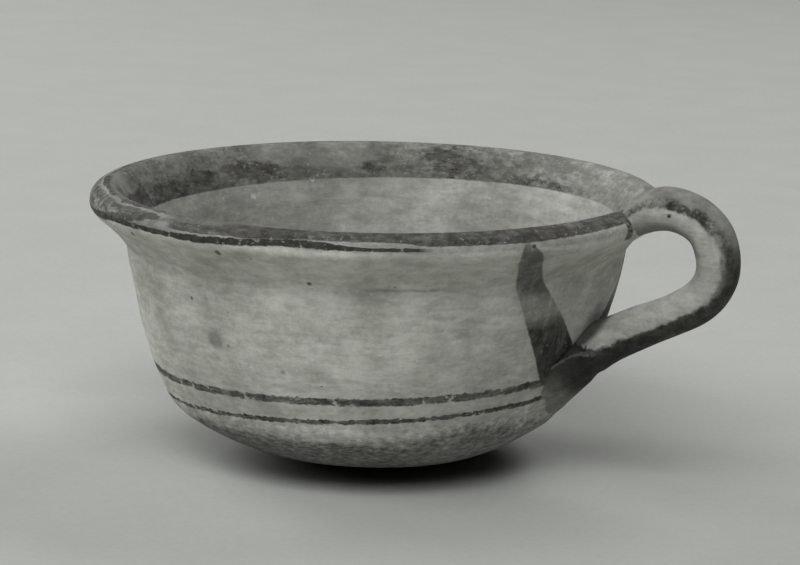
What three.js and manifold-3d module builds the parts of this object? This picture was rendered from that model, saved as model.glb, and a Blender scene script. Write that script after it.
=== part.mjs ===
// One-handled pottery cup: a wheel-thrown bowl with an everted lip, a pulled
// strap handle luted on with clay, and bands and strokes painted in dark slip.
// Millimetres, +Z up. The origin is the centre of the flat base, on the axis
// of the wheel, and the handle points along +X.

import * as THREE from 'three';
import { mergeVertices } from 'three/addons/utils/BufferGeometryUtils.js';
import Module from 'manifold-3d';

// Bowl: radii from the axis, heights above the surface that it stands on
const CUP_HEIGHT = 59;
const BASE_RADIUS = 13;
const SHOULDER_RADIUS = 43.4;
const SHOULDER_HEIGHT = 13;
const SHOULDER_ROUND = 3;
const LOWER_BULGE = 1.6;
const NECK_RADIUS = 53;
const NECK_DROP = 13.5;
const WALL_BULGE = 1.8;
const WALL_THICKNESS = 4.6;
const FLOOR_THICKNESS = 5.2;

// Lip: the wall turns out above the neck and ends in a thick rounded edge
const LIP_OVERHANG = 7.4;
const LIP_FACE_HEIGHT = 6;
const LIP_TOP_INSET = 2;
const LIP_UNDERCUT = 1;
const OUTER_FLARE_HOLLOW = 1.7;
const INNER_FLARE_HOLLOW = 2.6;

// Handle: an oval strap, measured to the middle of its section
const STRAP_WIDTH = 10.5;
const STRAP_THICKNESS = 8.6;
const HANDLE_STANDOFF = 15.4;
const HANDLE_BEND_DROP = 9.6;
const HANDLE_LIP_LAP = 1.6;
const HANDLE_LIP_DROP = 0.8;
const HANDLE_CROWN_RISE = 2;
const HANDLE_CROWN_PULL = 8.2;
const HANDLE_OUTER_PULL = 9.1;
const HANDLE_LOWER_PULL = 9.9;
const HANDLE_FOOT_HEIGHT = 28;
const HANDLE_FOOT_DEPTH = 1.6;
const HANDLE_FOOT_PULL = 13;
const HANDLE_FOOT_RISE = 6.5;

// Luting: clay smoothed round both ends of the strap, as half sizes of a pad
const LIP_PAD_OUT = 4.2;
const LIP_PAD_SIDE = 7.6;
const LIP_PAD_UPRIGHT = 5.4;
const LIP_PAD_DROP = 3.4;
const FOOT_PAD_OUT = 3.2;
const FOOT_PAD_SIDE = 13;
const FOOT_PAD_UPRIGHT = 9;
const FOOT_PAD_DROP = 2.5;

// Painted slip: one thin coat, lying just clear of the clay
const SLIP_COAT = 0.3;
const SLIP_CLEARANCE = 0.2;
const LOWER_BAND_HEIGHT = 18.3;
const LOWER_BAND_WIDTH = 1;
const UPPER_BAND_WIDTH = 1.3;
const BAND_SPACING = 4.4;
const BAND_TILT = THREE.MathUtils.degToRad(2.4);
const BAND_RISE_AZIMUTH = THREE.MathUtils.degToRad(25);
const ARRIS_WEAR = 0.7;
const INNER_BAND_DROP = 8.5;
const STROKE_AZIMUTH = THREE.MathUtils.degToRad(22);
const STROKE_LIP_GAP = 1.6;
const STROKE_TOP_WIDTH = 5;
const STROKE_FOOT_WIDTH = 10.5;
const STROKE_LEAN = 17;
const STROKE_BOW = 2;
const STRIPE_HALF_ANGLE = THREE.MathUtils.degToRad(62);

// Gap that pieces keep where one is shaped against another
const JOINT_GAP = 0.3;

// Fineness of the facets
const TURN_STEPS = 48;
const CURVE_STEPS = 4;
const STRAP_STEPS = 32;
const STRAP_SIDES = 20;
const STRIPE_SIDES = 8;
const PAD_STEPS = 20;

// Sizes that follow from those above
const neckHeight = CUP_HEIGHT - NECK_DROP;
const lipRadius = NECK_RADIUS + LIP_OVERHANG;
const handleReach = lipRadius + HANDLE_STANDOFF;
const handleBendHeight = CUP_HEIGHT - HANDLE_BEND_DROP;
const upperBandHeight = LOWER_BAND_HEIGHT + BAND_SPACING;
const clearOfAll = 4 * handleReach;

const wasm = await Module();
wasm.setup();

// A closed geometry as a solid that can be cut and joined
function toSolid(geometry) {
  geometry.deleteAttribute('normal');
  geometry.deleteAttribute('uv');
  const merged = mergeVertices(geometry);
  const index = merged.index.array;
  const triangles = [];
  for (let i = 0; i < index.length; i += 3) {
    const [a, b, c] = index.slice(i, i + 3);
    if (a !== b && b !== c && c !== a) triangles.push(a, b, c);
  }
  const mesh = new wasm.Mesh({
    numProp: 3,
    vertProperties: Float32Array.from(merged.attributes.position.array),
    triVerts: Uint32Array.from(triangles),
  });
  return new wasm.Manifold(mesh);
}

// A profile of (radius, height) points turned about the Z axis
function turned(profile) {
  const geometry = new THREE.LatheGeometry(profile, TURN_STEPS);
  geometry.rotateX(Math.PI / 2);
  return toSolid(geometry);
}

// A profile moved away from the clay, each point along its own normal
function offset(profile, distance) {
  return profile.map((point, i) => {
    const before = profile[Math.max(i - 1, 0)];
    const after = profile[Math.min(i + 1, profile.length - 1)];
    const along = after.clone().sub(before).normalize();
    return new THREE.Vector2(point.x + along.y * distance, point.y - along.x * distance);
  });
}

// The middle of a line, pushed out to its right
function bulged(start, end, bulge) {
  const along = end.clone().sub(start).normalize();
  const middle = start.clone().add(end).multiplyScalar(0.5);
  return new THREE.Vector2(middle.x + along.y * bulge, middle.y - along.x * bulge);
}

// A stretch of profile that bends through one control point
function bend(start, control, end, steps) {
  return new THREE.QuadraticBezierCurve(start, control, end).getPoints(steps);
}

// Bowl outside: the lower body and the wall are shallow curves that meet in a
// rounded shoulder, and the wall turns out above the neck to the lip
const baseEdge = new THREE.Vector2(BASE_RADIUS, 0);
const shoulder = new THREE.Vector2(SHOULDER_RADIUS, SHOULDER_HEIGHT);
const neck = new THREE.Vector2(NECK_RADIUS, neckHeight);
const lipEdge = new THREE.Vector2(lipRadius - LIP_UNDERCUT, CUP_HEIGHT - LIP_FACE_HEIGHT);
const lipTop = new THREE.Vector2(lipRadius - LIP_TOP_INSET, CUP_HEIGHT);

const lowerMiddle = bulged(baseEdge, shoulder, LOWER_BULGE);
const wallMiddle = bulged(shoulder, neck, WALL_BULGE);
const intoShoulder = shoulder.clone().sub(lowerMiddle).setLength(SHOULDER_ROUND);
const outOfShoulder = wallMiddle.clone().sub(shoulder).setLength(SHOULDER_ROUND);
const shoulderStart = shoulder.clone().sub(intoShoulder);
const shoulderEnd = shoulder.clone().add(outOfShoulder);
const outerWall = [
  ...bend(baseEdge, lowerMiddle, shoulderStart, CURVE_STEPS),
  ...bend(shoulderStart, shoulder, shoulderEnd, CURVE_STEPS).slice(1),
  ...bend(shoulderEnd, wallMiddle, neck, CURVE_STEPS).slice(1),
];

const underLip = bulged(neck, lipEdge, -OUTER_FLARE_HOLLOW);
const outerFlare = bend(neck, underLip, lipEdge, CURVE_STEPS);

// The lip's face is a cubic curve whose two control points stand a little
// further out than the lip, because such a curve falls short of them
const lipSwell = lipRadius + LIP_UNDERCUT / 2;
const lipFace = new THREE.CubicBezierCurve(
  lipEdge,
  new THREE.Vector2(lipSwell, lipEdge.y + LIP_FACE_HEIGHT / 4),
  new THREE.Vector2(lipSwell, lipTop.y - LIP_FACE_HEIGHT / 6),
  lipTop,
).getPoints(CURVE_STEPS);

// Bowl inside: one wall thickness in from the outside, down to a flat floor
const innerWall = offset(outerWall, -WALL_THICKNESS).filter((point) => point.y > FLOOR_THICKNESS);
innerWall.reverse();
const innerNeck = innerWall[0];
const innerMiddle = bulged(lipTop, innerNeck, INNER_FLARE_HOLLOW);
const innerFlare = bend(lipTop, innerMiddle, innerNeck, 2 * CURVE_STEPS);

const lowestInside = innerWall[innerWall.length - 1];
const floorRadius = lowestInside.x - (lowestInside.y - FLOOR_THICKNESS);
const bowlProfile = [
  new THREE.Vector2(0, 0),
  ...outerWall,
  ...outerFlare.slice(1),
  ...lipFace.slice(1),
  ...innerFlare.slice(1),
  ...innerWall.slice(1),
  new THREE.Vector2(floorRadius, FLOOR_THICKNESS),
  new THREE.Vector2(0, FLOOR_THICKNESS),
];
const bowl = turned(bowlProfile);

// The bowl grown by the joint gap, to shape what is fixed to it: as it is, and
// filled up with everything above it
const grownProfile = offset(bowlProfile, JOINT_GAP);
grownProfile[0].x = 0;
grownProfile[grownProfile.length - 1].x = 0;
const grownBowl = turned(grownProfile);
const grownOutside = offset(
  [...outerWall, ...outerFlare.slice(1), ...lipFace.slice(1)], JOINT_GAP,
);
const filledBowl = turned([
  new THREE.Vector2(0, grownOutside[0].y),
  ...grownOutside,
  new THREE.Vector2(lipTop.x, clearOfAll),
  new THREE.Vector2(0, clearOfAll),
]);

// Radius of the outside of the wall at a height
function wallRadiusAt(height) {
  const above = outerWall.findIndex((point) => point.y > height);
  const low = outerWall[above - 1];
  const high = outerWall[above];
  return low.x + ((high.x - low.x) * (height - low.y)) / (high.y - low.y);
}

// Handle: from the lip over a low crown, out and down round the bend, then back
// in a long lower run to the wall. Its ends are cut to the lip and the wall.
const strapStart = new THREE.Vector3(lipTop.x - HANDLE_LIP_LAP, 0, CUP_HEIGHT - HANDLE_LIP_DROP);
const strapBend = new THREE.Vector3(handleReach, 0, handleBendHeight);
const strapEnd = new THREE.Vector3(
  wallRadiusAt(HANDLE_FOOT_HEIGHT) - HANDLE_FOOT_DEPTH, 0, HANDLE_FOOT_HEIGHT,
);
const strapPath = new THREE.CurvePath();
strapPath.add(new THREE.CubicBezierCurve3(
  strapStart,
  new THREE.Vector3(strapStart.x + HANDLE_CROWN_PULL, 0, CUP_HEIGHT + HANDLE_CROWN_RISE),
  new THREE.Vector3(handleReach, 0, handleBendHeight + HANDLE_OUTER_PULL),
  strapBend,
));
strapPath.add(new THREE.CubicBezierCurve3(
  strapBend,
  new THREE.Vector3(handleReach, 0, handleBendHeight - HANDLE_LOWER_PULL),
  new THREE.Vector3(strapEnd.x + HANDLE_FOOT_PULL, 0, HANDLE_FOOT_HEIGHT + HANDLE_FOOT_RISE),
  strapEnd,
));

// A section carried along the strap: its x is the strap's width, and its y
// points into the finger hole
function alongStrap(section, sides) {
  return toSolid(new THREE.ExtrudeGeometry(section, {
    extrudePath: strapPath,
    steps: STRAP_STEPS,
    curveSegments: sides / 2,
  }));
}

function strap(growth) {
  const halfWidth = STRAP_WIDTH / 2 + growth;
  const halfThickness = STRAP_THICKNESS / 2 + growth;
  const oval = new THREE.Shape().absellipse(0, 0, halfWidth, halfThickness, 0, 2 * Math.PI);
  return alongStrap(oval, STRAP_SIDES);
}

const grownStrap = strap(JOINT_GAP);
const handle = strap(0).subtract(grownBowl);

// Luting pads: flattened lumps of clay, hollowed where the bowl and strap are
function pad(centre, halfSizes, lean) {
  const geometry = new THREE.SphereGeometry(1, PAD_STEPS, PAD_STEPS / 2);
  geometry.scale(...halfSizes);
  geometry.rotateY(lean);
  geometry.translate(centre.x, centre.y, centre.z);
  return toSolid(geometry);
}

function lipPad(growth) {
  const centre = new THREE.Vector3(lipRadius, 0, CUP_HEIGHT - LIP_PAD_DROP);
  const halfSizes = [LIP_PAD_OUT + growth, LIP_PAD_SIDE + growth, LIP_PAD_UPRIGHT + growth];
  return pad(centre, halfSizes, 0);
}

function footPad(growth) {
  const height = HANDLE_FOOT_HEIGHT - FOOT_PAD_DROP;
  const centre = new THREE.Vector3(wallRadiusAt(height), 0, height);
  const halfSizes = [FOOT_PAD_OUT + growth, FOOT_PAD_SIDE + growth, FOOT_PAD_UPRIGHT + growth];
  const wallLean = Math.atan2(neck.x - shoulder.x, neck.y - shoulder.y);
  return pad(centre, halfSizes, wallLean);
}

const lipLuting = lipPad(0).subtract(filledBowl).subtract(grownStrap);
const footLuting = footPad(0).subtract(filledBowl).subtract(grownStrap);
const grownLipPad = lipPad(JOINT_GAP);
const grownFootPad = footPad(JOINT_GAP);

// A coat of slip over a stretch of the bowl's profile
function slipOver(stretch) {
  const face = offset(stretch, SLIP_CLEARANCE + SLIP_COAT);
  const back = offset(stretch, SLIP_CLEARANCE);
  return turned([...face, ...back.reverse(), face[0]]);
}

// Everything between two heights, tilted about the origin of its middle plane
function between(low, high, tilt) {
  const slab = new THREE.BoxGeometry(clearOfAll, clearOfAll, high - low);
  slab.rotateY(-tilt);
  slab.rotateZ(BAND_RISE_AZIMUTH);
  slab.translate(0, 0, (low + high) / 2);
  return toSolid(slab);
}

// Bands round the body, a little askew because they were brushed by hand
const wallSlip = slipOver([...outerWall, ...outerFlare.slice(1, -1)]);

function bodyBand(height, width) {
  const level = between(height - width / 2, height + width / 2, BAND_TILT);
  return wallSlip.intersect(level).subtract(grownFootPad).subtract(grownStrap);
}

// Bands on the lip's face and inside it, both worn away along the top arris
function lipBand(stretch, lowest) {
  const level = between(lowest, CUP_HEIGHT - ARRIS_WEAR, 0);
  return slipOver(stretch).intersect(level).subtract(grownLipPad).subtract(grownStrap);
}

// Strokes beside the handle: each runs down and in from the lip to the foot and
// broadens on its way. The side is -1 in front of the handle and 1 behind it.
function flankingStroke(side) {
  const topHeight = lipEdge.y - STROKE_LIP_GAP;
  const middleHeight = (topHeight + HANDLE_FOOT_HEIGHT) / 2;
  const middleWidth = (STROKE_TOP_WIDTH + STROKE_FOOT_WIDTH) / 2;
  const top = side * STROKE_LEAN / 2;
  const middle = side * STROKE_BOW;
  const foot = -side * STROKE_LEAN / 2;
  const outline = new THREE.Shape();
  outline.moveTo(top + STROKE_TOP_WIDTH / 2, topHeight);
  outline.quadraticCurveTo(
    middle + middleWidth / 2, middleHeight, foot + STROKE_FOOT_WIDTH / 2, HANDLE_FOOT_HEIGHT,
  );
  outline.lineTo(foot - STROKE_FOOT_WIDTH / 2, HANDLE_FOOT_HEIGHT);
  outline.quadraticCurveTo(
    middle - middleWidth / 2, middleHeight, top - STROKE_TOP_WIDTH / 2, topHeight,
  );
  const cutter = new THREE.ExtrudeGeometry(outline, {
    depth: clearOfAll,
    bevelEnabled: false,
    curveSegments: CURVE_STEPS,
  });
  cutter.rotateX(Math.PI / 2);
  cutter.rotateZ(Math.PI / 2 + side * STROKE_AZIMUTH);
  return wallSlip.intersect(toSolid(cutter)).subtract(grownFootPad).subtract(grownStrap);
}

// Stripe down the back of the handle: a crescent of slip round the outer side
function handleStripe() {
  const backStart = -Math.PI / 2 - STRIPE_HALF_ANGLE;
  const backEnd = -Math.PI / 2 + STRIPE_HALF_ANGLE;
  const innerWidth = STRAP_WIDTH / 2 + SLIP_CLEARANCE;
  const innerThickness = STRAP_THICKNESS / 2 + SLIP_CLEARANCE;
  const crescent = new THREE.Shape();
  crescent.absellipse(
    0, 0, innerWidth + SLIP_COAT, innerThickness + SLIP_COAT, backStart, backEnd, false,
  );
  crescent.absellipse(0, 0, innerWidth, innerThickness, backEnd, backStart, true);
  return alongStrap(crescent, STRIPE_SIDES)
    .subtract(grownBowl)
    .subtract(grownLipPad)
    .subtract(grownFootPad);
}

// The finished piece: a named mesh with its own clay or slip finish
function piece(name, solid, color, roughness) {
  const { vertProperties, triVerts } = solid.getMesh();
  const geometry = new THREE.BufferGeometry();
  geometry.setAttribute('position', new THREE.BufferAttribute(vertProperties, 3));
  geometry.setIndex(new THREE.BufferAttribute(triVerts, 1));
  geometry.computeVertexNormals();
  const finish = new THREE.MeshStandardMaterial({ color, roughness, metalness: 0 });
  const mesh = new THREE.Mesh(geometry, finish);
  mesh.name = name;
  return mesh;
}

function clay(name, solid) {
  return piece(name, solid, 0x9f9c93, 0.9);
}

function slip(name, solid) {
  return piece(name, solid, 0x3b3934, 0.75);
}

const cup = new THREE.Group();
cup.add(
  clay('bowl', bowl),
  clay('handle', handle),
  clay('lip_luting', lipLuting),
  clay('foot_luting', footLuting),
  slip('lip_band', lipBand(lipFace, lipEdge.y)),
  slip('inner_rim_band', lipBand(innerFlare, CUP_HEIGHT - INNER_BAND_DROP)),
  slip('upper_body_band', bodyBand(upperBandHeight, UPPER_BAND_WIDTH)),
  slip('lower_body_band', bodyBand(LOWER_BAND_HEIGHT, LOWER_BAND_WIDTH)),
  slip('front_stroke', flankingStroke(-1)),
  slip('back_stroke', flankingStroke(1)),
  slip('handle_stripe', handleStripe()),
);

export default cup;
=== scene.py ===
import math

import bpy
from mathutils import Matrix, Vector, noise


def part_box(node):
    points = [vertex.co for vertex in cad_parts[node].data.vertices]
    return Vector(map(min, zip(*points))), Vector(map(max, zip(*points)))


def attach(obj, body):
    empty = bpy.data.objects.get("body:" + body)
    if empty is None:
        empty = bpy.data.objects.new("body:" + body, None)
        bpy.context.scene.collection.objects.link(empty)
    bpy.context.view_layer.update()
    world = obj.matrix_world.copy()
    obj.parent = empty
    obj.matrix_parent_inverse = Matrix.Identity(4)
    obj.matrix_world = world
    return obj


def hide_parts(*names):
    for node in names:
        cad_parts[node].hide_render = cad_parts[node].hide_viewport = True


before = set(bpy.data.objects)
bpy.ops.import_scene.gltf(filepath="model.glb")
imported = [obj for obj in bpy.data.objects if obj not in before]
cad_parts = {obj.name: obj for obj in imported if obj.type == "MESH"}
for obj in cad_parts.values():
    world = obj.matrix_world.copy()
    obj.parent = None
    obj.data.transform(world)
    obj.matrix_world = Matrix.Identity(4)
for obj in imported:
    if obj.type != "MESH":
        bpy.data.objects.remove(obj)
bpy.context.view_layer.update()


# Bowl: one piece of pale clay thrown on a wheel, cut off flat underneath, with
# a wall that leans out from a rounded shoulder and turns over into a thick lip.
# Slip bands and strokes were brushed on it, and long use has rubbed them thin.
MM = 0.001
BOWL_TOP_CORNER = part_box("bowl")[1]
CUP_HEIGHT = BOWL_TOP_CORNER.z / MM
LIP_RADIUS = BOWL_TOP_CORNER.y / MM
BASE_RADIUS = 13
BASE_HOLLOW = 0.35
NECK_RADIUS = 52.65
NECK_HEIGHT = CUP_HEIGHT - 13
FLOOR_HEIGHT = 5.2
TURN_STEPS = 256

# Stretches of the wall, each with its control point, its end and its number of steps
bowl_outside = [
    ((7, BASE_HOLLOW), (BASE_RADIUS - 1.5, 0), 5),
    ((BASE_RADIUS - 0.5, -0.05), (BASE_RADIUS + 0.4, 0.4), 4),
    ((20.0, 1.9), (28.0, 4.2), 14),
    ((34.6, 6.9), (40.0, 11.0), 14),
    ((42.3, 13.1), (43.2, 15.9), 8),
    ((50.1, 29.2), (NECK_RADIUS, NECK_HEIGHT), 34),
    ((54.4, 49.1), (58.6, 52.5), 14),
    ((LIP_RADIUS - 0.3, 53.7), (LIP_RADIUS - 0.15, 55.0), 6),
    ((LIP_RADIUS - 0.3, CUP_HEIGHT - 0.8), (56.0, CUP_HEIGHT - 0.5), 14),
]
bowl_inside = [
    ((54.4, CUP_HEIGHT - 0.7), (53.2, CUP_HEIGHT - 2.6), 6),
    ((50.6, 53.0), (48.4, 46.6), 14),
    ((45.2, 30.0), (39.8, 17.6), 26),
    ((38.9, 15.6), (36.4, 14.4), 6),
    ((28.0, 10.0), (20.5, 7.1), 14),
    ((17.5, FLOOR_HEIGHT), (11.0, FLOOR_HEIGHT), 6),
    ((5.0, FLOOR_HEIGHT), (0, FLOOR_HEIGHT), 5),
]


def profile(start, stretches):
    """(radius, height) points of stretches that each bend through one control point."""
    points = [Vector(start)]
    for control, end, steps in stretches:
        here = points[-1]
        for step in range(1, steps + 1):
            t = step / steps
            points.append((1 - t) ** 2 * here + 2 * t * (1 - t) * Vector(control) + t**2 * Vector(end))
    return points


bpy.ops.object.select_all(action="DESELECT")
bpy.ops.mesh.primitive_plane_add(size=MM)
bowl = bpy.context.object
bowl.name = "thrown_bowl"
bpy.ops.object.mode_set(mode="EDIT")
bpy.ops.mesh.select_all(action="SELECT")
bpy.ops.mesh.merge(type="CENTER")
bowl_profile = profile((0, BASE_HOLLOW), bowl_outside + bowl_inside)
bpy.ops.transform.translate(value=(0, 0, BASE_HOLLOW * MM))
for here, there in zip(bowl_profile, bowl_profile[1:]):
    step = (there - here) * MM
    bpy.ops.mesh.extrude_vertices_move(TRANSFORM_OT_translate={"value": (step.x, 0, step.y)})
bpy.ops.mesh.select_all(action="SELECT")
bpy.ops.mesh.spin(steps=TURN_STEPS, angle=2 * math.pi, center=(0, 0, 0), axis=(0, 0, 1))
bpy.ops.mesh.select_all(action="SELECT")
bpy.ops.mesh.remove_doubles(threshold=0.02 * MM)
bpy.ops.mesh.normals_make_consistent(inside=False)
bpy.ops.object.mode_set(mode="OBJECT")
bpy.ops.object.shade_smooth()

# It left the wheel a little crooked: the body sits aside and the rim is askew.
# Right and back are the photograph's, and lengths are in millimetres
PHOTO_AZIMUTH = math.radians(25)
TO_RIGHT = Vector((math.cos(PHOTO_AZIMUTH), math.sin(PHOTO_AZIMUTH), 0))
TO_BACK = Vector((-math.sin(PHOTO_AZIMUTH), math.cos(PHOTO_AZIMUTH), 0))
BODY_ASIDE = -1.45
BODY_DROP = 0.34
RIM_RISE_RIGHT = 0.28
RIM_RISE_BACK = 0.14
FLARE_LIFT = 0.9
RIPPLE = 0.06
RIPPLE_PITCH = 2.4
RIPPLE_SPAN = 90
UNEVENNESS = 0.22
UNEVEN_SPAN = 26
DENT = 0.1
DENT_SPAN = 6
DENT_SHIFT = Vector((7, 3, 5))


def fade(value, low, high):
    """0 below low, 1 above high, and smooth between them."""
    t = min(max((value - low) / (high - low), 0), 1)
    return t * t * (3 - 2 * t)


def body_share(height):
    """How much of the body's crookedness shows at a height."""
    return fade(height, 0.5, 8) * (1 - fade(height, 16, 40))


outer_face = bowl.data.attributes.new("outer_face", "FLOAT", "POINT")
normals = [vertex.normal.copy() for vertex in bowl.data.vertices]
for vertex, normal in zip(bowl.data.vertices, normals):
    place = vertex.co / MM
    radius = place.xy.length
    height = place.z
    outward = Vector((place.x, place.y, 0)).normalized()
    outer_face.data[vertex.index].value = normal.dot(outward) - normal.z
    push = UNEVENNESS * noise.noise(place / UNEVEN_SPAN)
    push += DENT * noise.noise(place / DENT_SPAN + DENT_SHIFT)
    ripple_place = Vector((place.x / RIPPLE_SPAN, place.y / RIPPLE_SPAN, height / RIPPLE_PITCH))
    push += RIPPLE * noise.noise(ripple_place)
    to_right = outward.dot(TO_RIGHT)
    place += outward * push * fade(height, 0.5, 6) * fade(radius, 0, 6)
    place += TO_RIGHT * BODY_ASIDE * body_share(height)
    place.z -= BODY_DROP * to_right * body_share(height)
    rim_rise = RIM_RISE_RIGHT * to_right + RIM_RISE_BACK * outward.dot(TO_BACK)
    place.z += rim_rise * fade(height, 40, 52)
    place.z += FLARE_LIFT * max(to_right, 0) ** 3 * fade(height, 43, 47) * (1 - fade(height, 49, 53))
    vertex.co = place * MM


class Strand:
    """A socket of a material, with sums that add their own nodes: | keeps the larger, & the smaller."""

    def __init__(self, socket):
        self.socket = socket

    def node(self, kind, settings, inputs, output=0):
        tree = self.socket.id_data
        added = tree.nodes.new(kind)
        for name, value in settings.items():
            setattr(added, name, value)
        for name, value in inputs.items():
            if isinstance(value, Strand):
                tree.links.new(value.socket, added.inputs[name])
            else:
                added.inputs[name].default_value = value
        return Strand(added.outputs[output])

    def sum(self, operation, first, second=0.0):
        return self.node("ShaderNodeMath", {"operation": operation}, {0: first, 1: second})

    def __add__(self, other):
        return self.sum("ADD", self, other)

    def __radd__(self, other):
        return self.sum("ADD", other, self)

    def __sub__(self, other):
        return self.sum("SUBTRACT", self, other)

    def __rsub__(self, other):
        return self.sum("SUBTRACT", other, self)

    def __mul__(self, other):
        return self.sum("MULTIPLY", self, other)

    def __rmul__(self, other):
        return self.sum("MULTIPLY", other, self)

    def __truediv__(self, other):
        return self.sum("DIVIDE", self, other)

    def __pow__(self, other):
        return self.sum("POWER", self, other)

    def __abs__(self):
        return self.sum("ABSOLUTE", self)

    def __or__(self, other):
        return self.sum("MAXIMUM", self, other)

    def __and__(self, other):
        return self.sum("MINIMUM", self, other)


def step_up(value, low, high):
    """A mask that is 0 below low and 1 above high."""
    inputs = {"Value": value, "From Min": low, "From Max": high}
    return value.node("ShaderNodeMapRange", {"interpolation_type": "SMOOTHSTEP"}, inputs)


def step_down(value, low, high):
    """A mask that is 1 below low and 0 above high."""
    return 1 - step_up(value, low, high)


def close_to(value, middle, reach):
    """A mask that is 1 at the middle value and 0 beyond the reach."""
    return step_down(abs(value - middle), reach * 0.55, reach)


def stretched(place, along, up, offset):
    """The place scaled round the cup and up it, so that noise runs in streaks."""
    inputs = {0: place, 1: (along, along, up), 2: (offset, offset, offset)}
    return place.node("ShaderNodeVectorMath", {"operation": "MULTIPLY_ADD"}, inputs)


def mottle(place, span, offset=0.0, detail=4.0, roughness=0.6):
    """Cloudy noise whose largest marks are about a span of millimetres apart."""
    moved = stretched(place, 1.0, 1.0, offset)
    inputs = {"Vector": moved, "Scale": 1 / span, "Detail": detail, "Roughness": roughness}
    return place.node("ShaderNodeTexNoise", {}, inputs)


def tint(mask, under, over):
    """One colour laid over another where the mask is 1."""
    return mask.node("ShaderNodeMix", {"data_type": "RGBA"}, {0: mask, 6: under, 7: over}, 2)


def shade(colour, amount):
    """A colour made darker or lighter."""
    inputs = {0: colour, "Scale": amount}
    return amount.node("ShaderNodeVectorMath", {"operation": "SCALE"}, inputs)


MATT_SPECULAR = 0.25


def fresh_material(name):
    """A material, its shader and the place on the piece, in millimetres."""
    material = bpy.data.materials.new(name)
    material.use_nodes = True
    nodes = material.node_tree.nodes
    shader = nodes["Principled BSDF"]
    shader.inputs["Specular IOR Level"].default_value = MATT_SPECULAR
    metres = Strand(nodes.new("ShaderNodeTexCoord").outputs["Object"])
    place = metres.node("ShaderNodeVectorMath", {"operation": "SCALE"}, {0: metres, "Scale": 1 / MM})
    return material, shader, place


def painted_on(place, name):
    """A value that the mesh carries at its points."""
    return place.node("ShaderNodeAttribute", {"attribute_name": name}, {}, 2)


CLAY_DARK = (0.322, 0.324, 0.292, 1)
CLAY_LIGHT = (0.452, 0.455, 0.420, 1)
CRUST = (0.58, 0.585, 0.55, 1)
GRIT = (0.05, 0.048, 0.042, 1)


def clay_ground(place, dusty):
    """Bare clay, paler where it is dusty: its colour, its relief in millimetres and its crust."""
    cloud = mottle(place, 17, 0.0, 5.0, 0.62)
    colour = tint(step_up(cloud, 0.34, 0.66), CLAY_DARK, CLAY_LIGHT)
    wiped = mottle(stretched(place, 0.3, 1.0, 5.0), 1.7, 0.0, 5.0, 0.64)
    colour = shade(colour, 0.86 + step_up(wiped, 0.34, 0.66) * 0.28)
    grain = mottle(place, 1.1, 0.0, 4.0, 0.7)
    colour = shade(colour, 0.72 + 0.56 * grain)
    film = step_up(mottle(place, 6, 40.0, 7.0, 0.72) + dusty * 0.08, 0.50, 0.72)
    colour = tint(film * 0.4, colour, CRUST)
    crumbs = mottle(place, 1.2, 90.0, 3.0, 0.7) * 0.5 + mottle(place, 7, 70.0, 3.0) * 0.5
    crust = step_up(crumbs + dusty * 0.015, 0.605, 0.665)
    pit = step_up(mottle(place, 2.2, 17.0, 2.0), 0.755, 0.79)
    colour = tint(pit * 0.8, colour, GRIT)
    relief = 0.13 * grain + 0.14 * wiped + 0.05 * crust - 0.15 * pit
    return colour, relief, crust


SLIP_THIN = (0.068, 0.065, 0.056, 1)
SLIP_THICK = (0.021, 0.0202, 0.017, 1)
SLIP_BUILD = 0.03
CLAY_ROUGHNESS = 0.92
SLIP_GLOSS = 0.16
CRUST_ON_CLAY = 0.46
CRUST_ON_SLIP = 0.14


def slip_over(colour, cover, place):
    """Dark slip brushed over a colour where the cover is 1."""
    body = mottle(place, 2.6, 0.0, 6.0, 0.7)
    slip = tint(step_up(body, 0.36, 0.64), SLIP_THICK, SLIP_THIN)
    return tint(cover, colour, slip)


def fire(shader, colour, relief, crust, cover):
    """Joins the painted colour, its crust, its gloss and its relief to the shader."""
    crust_shows = CRUST_ON_CLAY - cover * (CRUST_ON_CLAY - CRUST_ON_SLIP)
    colour = tint(crust * crust_shows, colour, CRUST)
    roughness = CLAY_ROUGHNESS - cover * SLIP_GLOSS
    bump = {"Height": relief + cover * SLIP_BUILD, "Distance": MM}
    normal = relief.node("ShaderNodeBump", {}, bump)
    links = shader.id_data.links
    links.new(colour.socket, shader.inputs["Base Color"])
    links.new(roughness.socket, shader.inputs["Roughness"])
    links.new(normal.socket, shader.inputs["Normal"])


# Where a point lies: aside and away are the photograph's right and back, from -1 to 1,
# and its turn is counted in degrees from the handle
material, shader, place = fresh_material("clay_with_slip_bands")
x, y, height = (place.node("ShaderNodeSeparateXYZ", {}, {0: place}, axis) for axis in range(3))
radius = (x * x + y * y) ** 0.5
aside = (x * TO_RIGHT.x + y * TO_RIGHT.y) / radius
away = (x * TO_BACK.x + y * TO_BACK.y) / radius
left = (0 - aside) | 0.0
bearing = y.sum("ARCTAN2", y, x) * math.degrees(1)
turn = abs(bearing)
outside = step_up(painted_on(place, "outer_face"), -0.15, 0.15)

# The brush went round on the wheel, so its marks are longer round the cup than across
PAINTED_RADIUS = 52
DEGREE_ARC = math.radians(PAINTED_RADIUS)
BRUSH_DRAG = 0.36
along_brush = {0: turn * (DEGREE_ARC * BRUSH_DRAG), 1: height, 2: radius}
brushed = place.node("ShaderNodeCombineXYZ", {}, along_brush)
coarse = mottle(brushed, 8)
blotch = mottle(brushed, 2.6, 25.0, 5.0, 0.7)
ragged = mottle(place, 1.5, 60.0, 5.0, 0.68)
clotted = step_up(mottle(brushed, 0.8, 300.0, 4.0, 0.7), 0.40, 0.58)
flaked = step_up(mottle(place, 1.2, 130.0, 3.0), 0.60, 0.70)
broken = step_up(mottle(place, 2.4, 170.0, 3.0), 0.59, 0.67)
edge = (ragged - 0.5) * 0.9
worn = step_up(blotch * 0.5 + ragged * 0.3 + coarse * 0.2, 0.43, 0.59)


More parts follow.
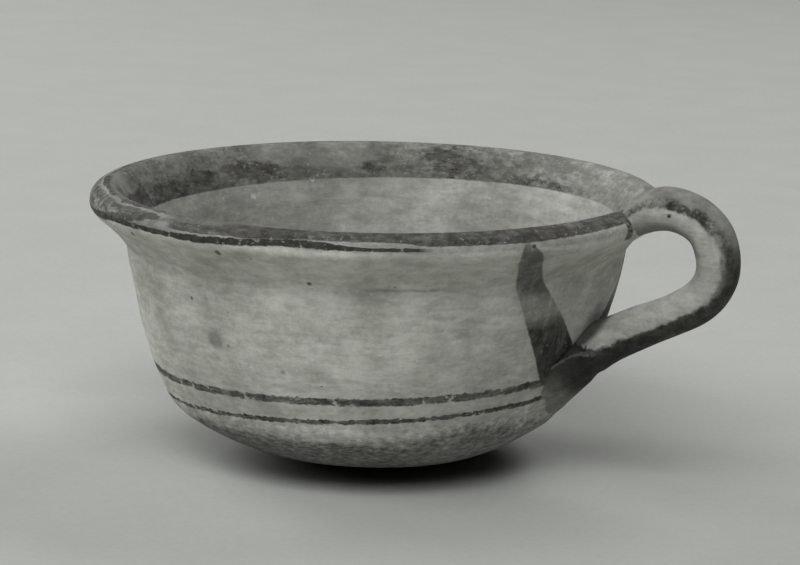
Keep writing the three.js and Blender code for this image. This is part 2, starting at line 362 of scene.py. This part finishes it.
def spot(azimuth, level, reach, stretch=1.0):
    """A ragged mark at an azimuth in degrees and a height, drawn out round the cup."""
    across = (bearing - azimuth) * (DEGREE_ARC / stretch)
    up = height - level
    distance = (across * across + up * up) ** 0.5
    return step_down(distance + (edge + blotch - 0.5) * reach * 0.8, reach * 0.4, reach)


def spots(marks):
    """Several such marks together."""
    masks = [spot(*mark) for mark in marks]
    together = masks[0]
    for mask in masks[1:]:
        together = together | mask
    return together


# The wall is dusted pale at the front, and drink has stained the inside
OUTER_TONE = 1.16
INNER_TONE = 0.90
dusty = spot(-72, 31, 32) * outside
colour, relief, crust = clay_ground(place, dusty)
# Inside: a stain all over, plus painted shade that deepens towards the left, under the left lip
inside_stain_and_shade = INNER_TONE - step_up(0 - aside * radius, -9, 20) * 0.22
# Painted light: the outer wall is made paler near its right and left edges
painted_light_right = step_up(aside, 0.72, 0.86) * step_up(height, 24, 32) * 0.2
painted_light_left = step_up(left, 0.75, 0.95) * 0.12
outer_dust_and_light = OUTER_TONE + dusty * 0.08 + (painted_light_right + painted_light_left)
colour = shade(colour, outside * outer_dust_and_light + (1 - outside) * inside_stain_and_shade)

# Painted shade under the shoulder, deepest towards the right, and small stains and scratches above it
shoulder_shade_level = height - step_up(aside, 0.1, 0.5) * 3.2 + step_up(aside, 0.6, 0.8) * 2
shoulder_shade = step_down(shoulder_shade_level + edge * 3 + (blotch - 0.5) * 5, 11.0, 14.0) * outside
shoulder_shade_depth = 0.96 - ragged * 0.56 - clotted * 0.14 - step_up(aside, 0.05, 0.4) * 0.12
colour = shade(colour, 1 - shoulder_shade * shoulder_shade_depth)
crusty = step_down(height + (coarse - 0.5) * 8, 15, 20) * outside
colour = shade(colour, 1 + crusty * ((ragged - 0.55) * 1.1 + (clotted - 0.5) * 0.2 + flaked * 0.3))
stains = spots(((-95.7, 52.7, 0.75), (-119, 53, 0.6), (-78.3, 47.3, 0.6), (-109.4, 40.7, 0.6)))
stains = stains | spots(((-103.8, 32.7, 2.6), (-86, 28, 0.8), (-100, 32, 0.6))) * 0.5
scratch = close_to(height + (blotch - 0.5) * 1.2, 46.4, 0.45) * close_to(bearing, -57.5, 9)
colour = tint((stains * 0.8 | scratch * 0.3) * outside, colour, GRIT)

# Two lines round the body, which sink towards the left
UPPER_LINE_HEIGHT = 22.45
UPPER_LINE_HALF = 0.85
LOWER_LINE_HEIGHT = 17.95
LOWER_LINE_HALF = 0.55
upper_level = UPPER_LINE_HEIGHT + aside * 1.35 - left * left * 0.75
lower_level = LOWER_LINE_HEIGHT + aside * 1.9 - left * left * 1.35


def brushed_line(level, half):
    """A line drawn with a brush: uneven at its edges and broken here and there."""
    across = abs(height - level + (coarse - 0.5) * 0.6) + edge * 1.8 + (blotch - 0.5) * 0.9
    whole = step_down(across, half * 0.75, half * 1.2)
    return whole * (0.82 - worn * 0.22 + clotted * 0.2) * (1 - broken * 0.75)


lines = brushed_line(upper_level, UPPER_LINE_HALF - left * 0.05)
lines = (lines | brushed_line(lower_level, LOWER_LINE_HALF - left * 0.2)) * outside

# Band inside the lip, thickest at its left and thin beside the handle
INNER_BAND_EDGE = 51.15
above_edge = height - INNER_BAND_EDGE - aside * 1.35
inner_band = step_up(above_edge + edge * 0.6, -0.12, 0.2) * (1 - outside)
left_pool = step_up(left + (coarse - 0.5) * 0.2, 0.70, 0.78) * (1 - outside)
left_pool = left_pool * step_down(height + (blotch - 0.5) * 7 + edge * 2, 53.2, 55.2)
clots = step_up(coarse * 0.5 + blotch * 0.5 - step_up(height, 53.5, 57.5) * 0.04, 0.49, 0.57)
thick = spots(((148, 53, 3, 3), (117, 53.3, 1.6, 2.4), (96, 55, 4, 2), (69, 52.6, 2.2, 6)))
thick = (thick | left_pool) | clots * 0.8
thin = spots(((-156, 55.8, 4, 2), (140, 56.6, 3, 3), (125, 56, 4, 2.5)))
thin_by_handle = step_up(aside, 0.40, 0.95)
inner_cover = 0.80 - worn * 0.44 + thick * 0.42 - thin * 0.36 - thin_by_handle * 0.2
inner_cover = inner_band * ((inner_cover | 0.2) & 0.97) * (0.85 + clotted * 0.15) * (1 - flaked * 0.4)

# Line under the lip, along the left and the front, and a slanting one across the left
LIP_LINE_HEIGHT = 55.8
at_left = step_up(left, 0.66, 0.74)
line_level = LIP_LINE_HEIGHT + step_up(left, 0.0, 0.25) * 0.5 - step_up(left, 0.25, 0.62) * 1.3
line_level = line_level - step_up(left, 0.85, 0.97) * 0.5
line_half = 0.36 + close_to(left, 0.38, 0.36) * 0.36 + at_left * 0.16
lip_line = step_down(abs(height - line_level) / line_half + edge * 1.8, 0.75, 1.2)
lip_line = lip_line * step_down(aside, 0.12, 0.24) * (1 - broken * 0.4)
past_slant = height + left * 17 - 70.3 + edge * 1.5
slant_line = close_to(past_slant, 0.0, 1.25) * at_left

# Band over the lip itself, rubbed at the left and almost gone at the far right
LIP_BAND_EDGE = 57.0
lip_edge = LIP_BAND_EDGE - step_up(left, 0.2, 0.45) * 0.65 - step_up(left, 0.45, 0.6) * 0.4
lip_edge = lip_edge - step_up(aside, 0.05, 0.2) * 0.65 + step_up(aside, 0.5, 0.85) * 0.6
lip_top = step_up(height + edge * 0.8 - lip_edge, -0.15, 0.2)
lip_top = lip_top * (1 - at_left) + step_up(past_slant, -0.2, 0.6) * at_left
lip_worn = worn * (0.24 + at_left * 0.2) + close_to(left, 0.62, 0.2) * 0.14
lip_top = lip_top * ((0.98 - lip_worn + clotted * 0.1) & 0.97)
lip_top = lip_top * (1 - step_up(away, -0.1, 0.2) * step_up(aside, -0.2, 0.3) * 0.8)
lip_wash = step_up(height, 54.6, 55.6) * (0.3 + worn * 0.2 + close_to(left, 0.76, 0.16) * 0.3)
lip_cover = (lip_line * 0.97 | slant_line * 0.96) | (lip_top | lip_wash)
on_lip = (outside | step_up(radius, 55.0, 56.4)) * step_up(height, 53.2, 53.8)
lip_cover = lip_cover * (1 - flaked * 0.4) * on_lip
arris = close_to(radius + (blotch - 0.5) * 4, 57.6, 0.5) * at_left * step_up(height, 56.8, 57.3)

# Painted shade in the corner where the strap meets the lip
lip_joint_shade = close_to(turn + (blotch - 0.5) * 3, 7.0, 1.7) * step_up(height + edge * 2, 51.5, 54.0)
lip_joint_shade = lip_joint_shade * step_down(radius, 60.2, 60.6) * (0.7 + clotted * 0.25) * on_lip

# Strokes beside the handle, one brushed down from the lip on each side. The edges
# are turns from the handle, and the far side's stroke is the broader one
STROKE_TIP_START = 52.4
STROKE_TIP_LENGTH = 3.9
FAR_SIDE_BROADER = 10
climb = (height - 40) / 15
far_edge = 30.0 + climb * 8.6 - climb * climb * 2.6 + step_up(height, 48.5, 53.0)
near_edge = 19.0 + climb * 15.4 - climb * climb * 1.8 - step_up(bearing, -2, 2) * FAR_SIDE_BROADER
up_tip = ((height - STROKE_TIP_START) / STROKE_TIP_LENGTH | 0.0) & 1.0
half_width = (far_edge - near_edge) * 0.5 * (1.0001 - up_tip**3) ** 0.5
within = half_width - abs(turn - (far_edge + near_edge) * 0.5)
lower_end = step_up(height - step_up(turn, 10, 14) * 4 + edge * 2, 18.0, 21.0)
stroke = step_up(within + edge * 0.7, -0.25, 0.5) * lower_end * outside
brush_mark = mottle(stretched(place, 0.45, 0.09, 31.0), 1, 0.0, 5.0, 0.65)
rubbed = step_down(abs(height - 40.9) + (blotch - 0.5) * 7 + (coarse - 0.5) * 8 + edge * 3, 0.6, 4.0)
stroke_cover = 1.0 - step_up(height, 35.5, 38.5) * 0.22
stroke_cover = stroke_cover - step_up(brush_mark, 0.46, 0.66) * 0.18 - rubbed * 0.3
stroke_cover = stroke * (stroke_cover & 0.98) * (1 - flaked * 0.25)
drip = spot(-34.1, 55.6, 0.6) | spot(34.1, 55.6, 0.6)

cover = (lines | inner_cover) | (lip_cover | stroke_cover) | lip_joint_shade
cover = cover * (1 - arris * 0.6) | drip * outside

# Where it lay thickest it fired almost black
pooled = (lip_line * on_lip | left_pool * 0.4) | stroke * step_down(height, 32, 37) * 0.6
colour = shade(slip_over(colour, cover, place), 1 - pooled * cover * (0.3 + clotted * 0.2))
fire(shader, colour, relief, crust, cover)
bowl.data.materials.append(material)

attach(bowl, "root")
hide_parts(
    "bowl", "lip_band", "inner_rim_band", "upper_body_band", "lower_body_band",
    "front_stroke", "back_stroke",
)


# Handle: a strap of the same clay pulled by hand to an oval section, smoothed
# over the lip and bent down to the wall. Its foot was pressed flat and smeared
# out into a fan, which luted it on, and slip was brushed down its whole back.
STRAP_SIDES = 24
STATION_STEPS = 6
STRAP_SMOOTHINGS = 8
# Distance from the axis, height, half width and half thickness, lip to foot
strap_stations = [
    (55.6, 54.8, 7.4, 2.4),
    (58.2, 56.3, 7.0, 3.2),
    (61.4, 58.5, 6.2, 4.3),
    (66.2, 59.5, 5.4, 4.7),
    (72.8, 56.8, 5.3, 4.3),
    (75.5, 52.2, 5.3, 4.4),
    (76.0, 46.9, 5.3, 4.4),
    (73.3, 41.8, 5.3, 4.4),
    (67.5, 38.0, 5.3, 4.3),
    (60.7, 34.75, 5.4, 4.35),
    (54.8, 31.75, 6.8, 4.6),
    (49.0, 28.5, 10.5, 5.4),
    (46.2, 24.5, 15.5, 4.3),
    (44.5, 21.0, 13.5, 3.3),
    (42.9, 17.6, 9.0, 2.1),
    (41.3, 14.4, 4.0, 0.7),
]


def through(stations, steps):
    """A smooth run of stations that passes close to the given ones."""
    rows = [Vector(station) for station in stations]
    rows = [2 * rows[0] - rows[1]] + rows + [2 * rows[-1] - rows[-2]]
    run = []
    for before, here, there, after in zip(rows, rows[1:], rows[2:], rows[3:]):
        for step in range(steps):
            t = step / steps
            run.append(0.5 * (
                2 * here + (there - before) * t
                + (2 * before - 5 * here + 4 * there - after) * t**2
                + (3 * here - before - 3 * there + after) * t**3
            ))
    run.append(rows[-2])
    for _ in range(STRAP_SMOOTHINGS):
        eased = [(before + 2 * here + after) / 4 for before, here, after in zip(run, run[1:], run[2:])]
        run = [run[0]] + eased + [run[-1]]
    return run


strap = through(strap_stations, STATION_STEPS)
strap_leans = []
for index in range(len(strap)):
    along = strap[min(index + 1, len(strap) - 1)] - strap[max(index - 1, 0)]
    lean = math.atan2(along.y, along.x)
    if strap_leans and lean - strap_leans[-1] > math.pi:
        lean -= 2 * math.pi
    strap_leans.append(lean)


def in_plane(station):
    """A station's middle, in the handle's own upright plane."""
    return Vector((station.x, 0, station.y)) * MM


bpy.ops.object.select_all(action="DESELECT")
bpy.ops.mesh.primitive_circle_add(
    vertices=STRAP_SIDES, radius=MM, location=in_plane(strap[0]),
    rotation=(0, math.pi / 2 - strap_leans[0], 0),
)
handle = bpy.context.object
handle.name = "strap_handle"
handle.scale = (strap[0].w, strap[0].z, 1)
bpy.ops.object.transform_apply(location=True, rotation=True, scale=True)
bpy.ops.object.mode_set(mode="EDIT")
bpy.ops.mesh.select_all(action="SELECT")
bpy.ops.mesh.edge_face_add()
for index in range(1, len(strap)):
    here = strap[index - 1]
    there = strap[index]
    middle = in_plane(there)
    bpy.ops.mesh.extrude_region_move(TRANSFORM_OT_translate={"value": middle - in_plane(here)})
    bpy.ops.transform.rotate(
        value=strap_leans[index] - strap_leans[index - 1], orient_axis="Y", center_override=middle
    )
    thicken = there.w / here.w
    bpy.ops.transform.resize(value=(thicken, there.z / here.z, thicken), center_override=middle)
bpy.ops.mesh.select_all(action="SELECT")
bpy.ops.mesh.normals_make_consistent(inside=False)
bpy.ops.object.mode_set(mode="OBJECT")
rounding = handle.modifiers.new("rounding", "SUBSURF")
rounding.levels = 1
rounding.render_levels = 1
bpy.ops.object.modifier_apply(modifier=rounding.name)
bpy.ops.object.shade_smooth()

# Fingers left it uneven, and thinned its foot towards the sides as they smeared it out
PULL_MARK = 0.3
PULL_SPAN = 9
SMEAR_START = 10.2
SMEAR_WHOLE = 11.8
SMEAR_MARK = 0.5
SMEAR_SPAN = 4.5
SMEAR_SHIFT = Vector((3, 8, 1))
SMEAR_THINNING = 1.7
SMEAR_TUCK = 0.5
SMEAR_RAGGED = 0.16
STRETCHES_TO_LIP = 7
POINTS_TO_LIP = sum(steps for _, _, steps in bowl_outside[:STRETCHES_TO_LIP])


def wall_radius(height):
    """Radius of the bowl's outside at a height, before it was knocked aside."""
    rising = bowl_profile[:POINTS_TO_LIP]
    for low, high in zip(rising, rising[1:]):
        if low.y <= height <= high.y:
            return low.x + (high.x - low.x) * (height - low.y) / (high.y - low.y)
    return rising[-1].x


back_side = handle.data.attributes.new("back_side", "FLOAT", "POINT")
down_strap = handle.data.attributes.new("down_strap", "FLOAT", "POINT")
proud = handle.data.attributes.new("proud", "FLOAT", "POINT")
normals = [vertex.normal.copy() for vertex in handle.data.vertices]
for vertex, normal in zip(handle.data.vertices, normals):
    place = vertex.co / MM
    flat = Vector((place.x, place.z))
    nearest = min(range(len(strap)), key=lambda index: (flat - strap[index].xy).length_squared)
    station = strap[nearest]
    lean = strap_leans[nearest]
    outward = Vector((-math.sin(lean), math.cos(lean)))
    back = (flat - station.xy).dot(outward)
    back_side.data[vertex.index].value = back / station.w
    down_strap.data[vertex.index].value = nearest / STATION_STEPS
    spread = fade(nearest / STATION_STEPS, SMEAR_START, SMEAR_WHOLE)
    across = min(abs(place.y) / station.z, 1)
    thinned = back * ((1 - across * across) ** (SMEAR_THINNING * spread) - 1)
    thinned -= SMEAR_TUCK * spread * across**4
    place.x += outward.x * thinned
    place.z += outward.y * thinned
    place.y *= 1 + SMEAR_RAGGED * spread * noise.noise(place / SMEAR_SPAN)
    turn = place.y / place.x
    place.x, place.y = place.x * math.cos(turn), place.x * math.sin(turn)
    place += normal * PULL_MARK * noise.noise(place / PULL_SPAN)
    place += normal * SMEAR_MARK * spread * noise.noise(place / SMEAR_SPAN + SMEAR_SHIFT)
    from_axis = place - TO_RIGHT * BODY_ASIDE * body_share(place.z)
    proud.data[vertex.index].value = from_axis.xy.length - wall_radius(place.z)
    vertex.co = place * MM

# Back is 1 on the strap's back and -1 on its inner face, and stations count from the lip
material, shader, place = fresh_material("clay_with_slip_stripe")
y = place.node("ShaderNodeSeparateXYZ", {}, {0: place}, 1)
back = painted_on(place, "back_side")
station = painted_on(place, "down_strap")
standing = painted_on(place, "proud")
colour, relief, crust = clay_ground(place, step_up(station, 5.0, 6.0) * 0.3)
colour = shade(colour, 1 - step_up(station, 5.0, 7.0) * 0.08)
coarse = mottle(place, 9, 0.0, 5.0)
ragged = mottle(place, 1.7, 60.0, 5.0, 0.68)
rubbed = mottle(place, 3.4, 0.0, 5.0, 0.68)

# The stripe runs along the back of the strap, and takes in the whole foot
stripe_edge = 0.2 + step_up(station, 3.0, 5.2) * 0.28 - step_up(station, 6.2, 7.6) * 0.3
stripe_edge = stripe_edge - step_up(station, 10.1, 11.4) * 1.8
past_edge = back - stripe_edge + (ragged - 0.5) * 0.45
stripe = step_up(past_edge, -0.08, 0.08)
thin_rim = 0.12 + step_down(station, 6.2, 7.6) * 0.14
laid_on = 0.55 + step_up(past_edge, 0.0, thin_rim) * 0.43
laid_on = laid_on - step_up(station + (ragged - 0.5) * 1.5, 12.2, 13.9) * 0.6

# A thumb has worn it thin on the crown, where only its edge is still dark
on_crown = step_down(station, 4.7, 5.5)
crown_edge = close_to(past_edge, 0.12, 0.4) * step_up(rubbed * 0.5 + ragged * 0.5, 0.44, 0.54)
rubbed_off = 0.60 + (coarse - 0.5) * 0.4 + (rubbed - 0.5) * 0.6 + crown_edge * 0.3
stripe_cover = stripe * (on_crown * rubbed_off + (1 - on_crown) * laid_on)

# Slip is smudged over the root, and painted shade darkens the crown's underside and the creases at the
# root and the foot
root_smudge = step_down(station, 2.1, 2.9) * 0.36
crown_underside_shade = step_up(0 - back, 0.3, 0.75) * on_crown * 0.5
root_crease_shade = step_down(standing, 0.4, 1.5) * step_up(0.3 - back, 0.0, 0.3)
root_crease_shade = root_crease_shade * step_down(station, 1.6, 2.4)
foot_crease_shade = step_down(standing, 2.2, 4.6) * step_up(0 - back, 0.1, 0.5)
foot_crease_shade = foot_crease_shade * step_up(station, 9.3, 9.9)
smudges_and_crease_shade = (root_smudge | crown_underside_shade) | (root_crease_shade * 0.7 | foot_crease_shade * 0.8)

# A crack has opened above the foot, and the fan's two wings are thinly painted
crack = close_to(back + (ragged - 0.5) * 0.6, 0.25, 0.16) * close_to(station, 11.2, 1.2)
foot_thin = step_up(station, 10.4, 11.2) * 0.12 + step_up(station, 11.7, 12.5) * 0.3
foot_thin = foot_thin * step_up(abs(y) + (ragged - 0.5) * 6, 4.0, 11.0)
stripe_cover = (stripe_cover | smudges_and_crease_shade) * (1 - crack * 0.35) * (1 - foot_thin)
thickest = step_up(station, 8.0, 10.6) * step_down(station, 12.2, 13.6) * stripe_cover

# One deep pit shows on the crown
PIT_PLACE = (66.9, -5.3, 58.8)
PIT_DEPTH = 0.3
from_pit = place.node("ShaderNodeVectorMath", {"operation": "DISTANCE"}, {0: place, 1: PIT_PLACE}, 1)
pit = step_down(from_pit + (ragged - 0.5) * 2, 0.1, 0.55)
colour = shade(slip_over(colour, stripe_cover | pit, place), 1 - thickest * 0.5)
fire(shader, colour, relief - pit * PIT_DEPTH, crust, stripe_cover)
handle.data.materials.append(material)

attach(handle, "root")
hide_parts("handle", "lip_luting", "foot_luting", "handle_stripe")


# Floor: a pale, matt board for the cup to stand on. It is the stage, and not a
# part of the cup.
FLOOR_REACH = 6
BOARD_DARK = (0.408, 0.418, 0.393, 1)
BOARD_LIGHT = (0.424, 0.434, 0.409, 1)
BOARD_ROUGHNESS = 0.9
bpy.ops.object.select_all(action="DESELECT")
bpy.ops.mesh.primitive_plane_add(size=FLOOR_REACH)
floor = bpy.context.object
floor.name = "floor"
material, shader, place = fresh_material("pale_board")
patch = mottle(place, 30, 0.0, 5.0, 0.65)
board = tint(step_up(patch, 0.3, 0.7), BOARD_DARK, BOARD_LIGHT)
board = shade(board, 0.91 + mottle(place, 1.4, 20.0, 4.0, 0.65) * 0.18)
material.node_tree.links.new(board.socket, shader.inputs["Base Color"])
shader.inputs["Roughness"].default_value = BOARD_ROUGHNESS
floor.data.materials.append(material)


# Camera and daylight: the camera has the photograph's own view. The light is
# soft, from large square lamps in front of the cup, at its left and behind it.
CAMERA_DISTANCE = 0.6
CAMERA_ELEVATION = math.radians(11.7)
CAMERA_ROLL = math.radians(1.36)
CAMERA_LENS = 127.4
AIM_ASIDE = 0.00519
AIM_HEIGHT = 0.0372
upright = Vector((0, 0, 1))
aim = TO_RIGHT * AIM_ASIDE + upright * AIM_HEIGHT
look = TO_BACK * math.cos(CAMERA_ELEVATION) - upright * math.sin(CAMERA_ELEVATION)
level_up = TO_RIGHT.cross(look)
picture_right = TO_RIGHT * math.cos(CAMERA_ROLL) + level_up * math.sin(CAMERA_ROLL)
picture_up = level_up * math.cos(CAMERA_ROLL) - TO_RIGHT * math.sin(CAMERA_ROLL)
camera = bpy.data.objects.new("camera", bpy.data.cameras.new("camera"))
camera.data.lens = CAMERA_LENS
turned = Matrix((picture_right, picture_up, -look)).transposed().to_4x4()
camera.matrix_world = Matrix.Translation(aim - look * CAMERA_DISTANCE) @ turned
bpy.context.scene.collection.objects.link(camera)
bpy.context.scene.camera = camera

LAMP_REACH = 1.8
LAMP_SIZE = 0.9


def lamp(name, bearing, rise, power):
    """A square lamp that faces the cup: bearing 0 is the camera's, 90 is at its left."""
    light = bpy.data.lights.new(name, "AREA")
    light.size = LAMP_SIZE
    light.energy = power
    holder = bpy.data.objects.new(name, light)
    bearing = math.radians(bearing)
    rise = math.radians(rise)
    level = -TO_RIGHT * math.sin(bearing) - TO_BACK * math.cos(bearing)
    holder.location = (level * math.cos(rise) + upright * math.sin(rise)) * LAMP_REACH
    holder.rotation_euler = (aim - holder.location).to_track_quat("-Z", "Y").to_euler()
    bpy.context.scene.collection.objects.link(holder)


lamp("front_sky", bearing=0, rise=48, power=17)
lamp("front_left_sky", bearing=45, rise=48, power=8.5)
lamp("left_sky", bearing=90, rise=28, power=5)
lamp("back_left_sky", bearing=135, rise=28, power=14.5)
lamp("back_right_sky", bearing=225, rise=48, power=12.5)

DAYLIGHT = (1, 1, 0.98, 1)
DAYLIGHT_STRENGTH = 0.01
world = bpy.data.worlds.new("daylight")
world.use_nodes = True
world.node_tree.nodes["Background"].inputs["Color"].default_value = DAYLIGHT
world.node_tree.nodes["Background"].inputs["Strength"].default_value = DAYLIGHT_STRENGTH
bpy.context.scene.world = world
bpy.context.scene.view_settings.view_transform = "Standard"
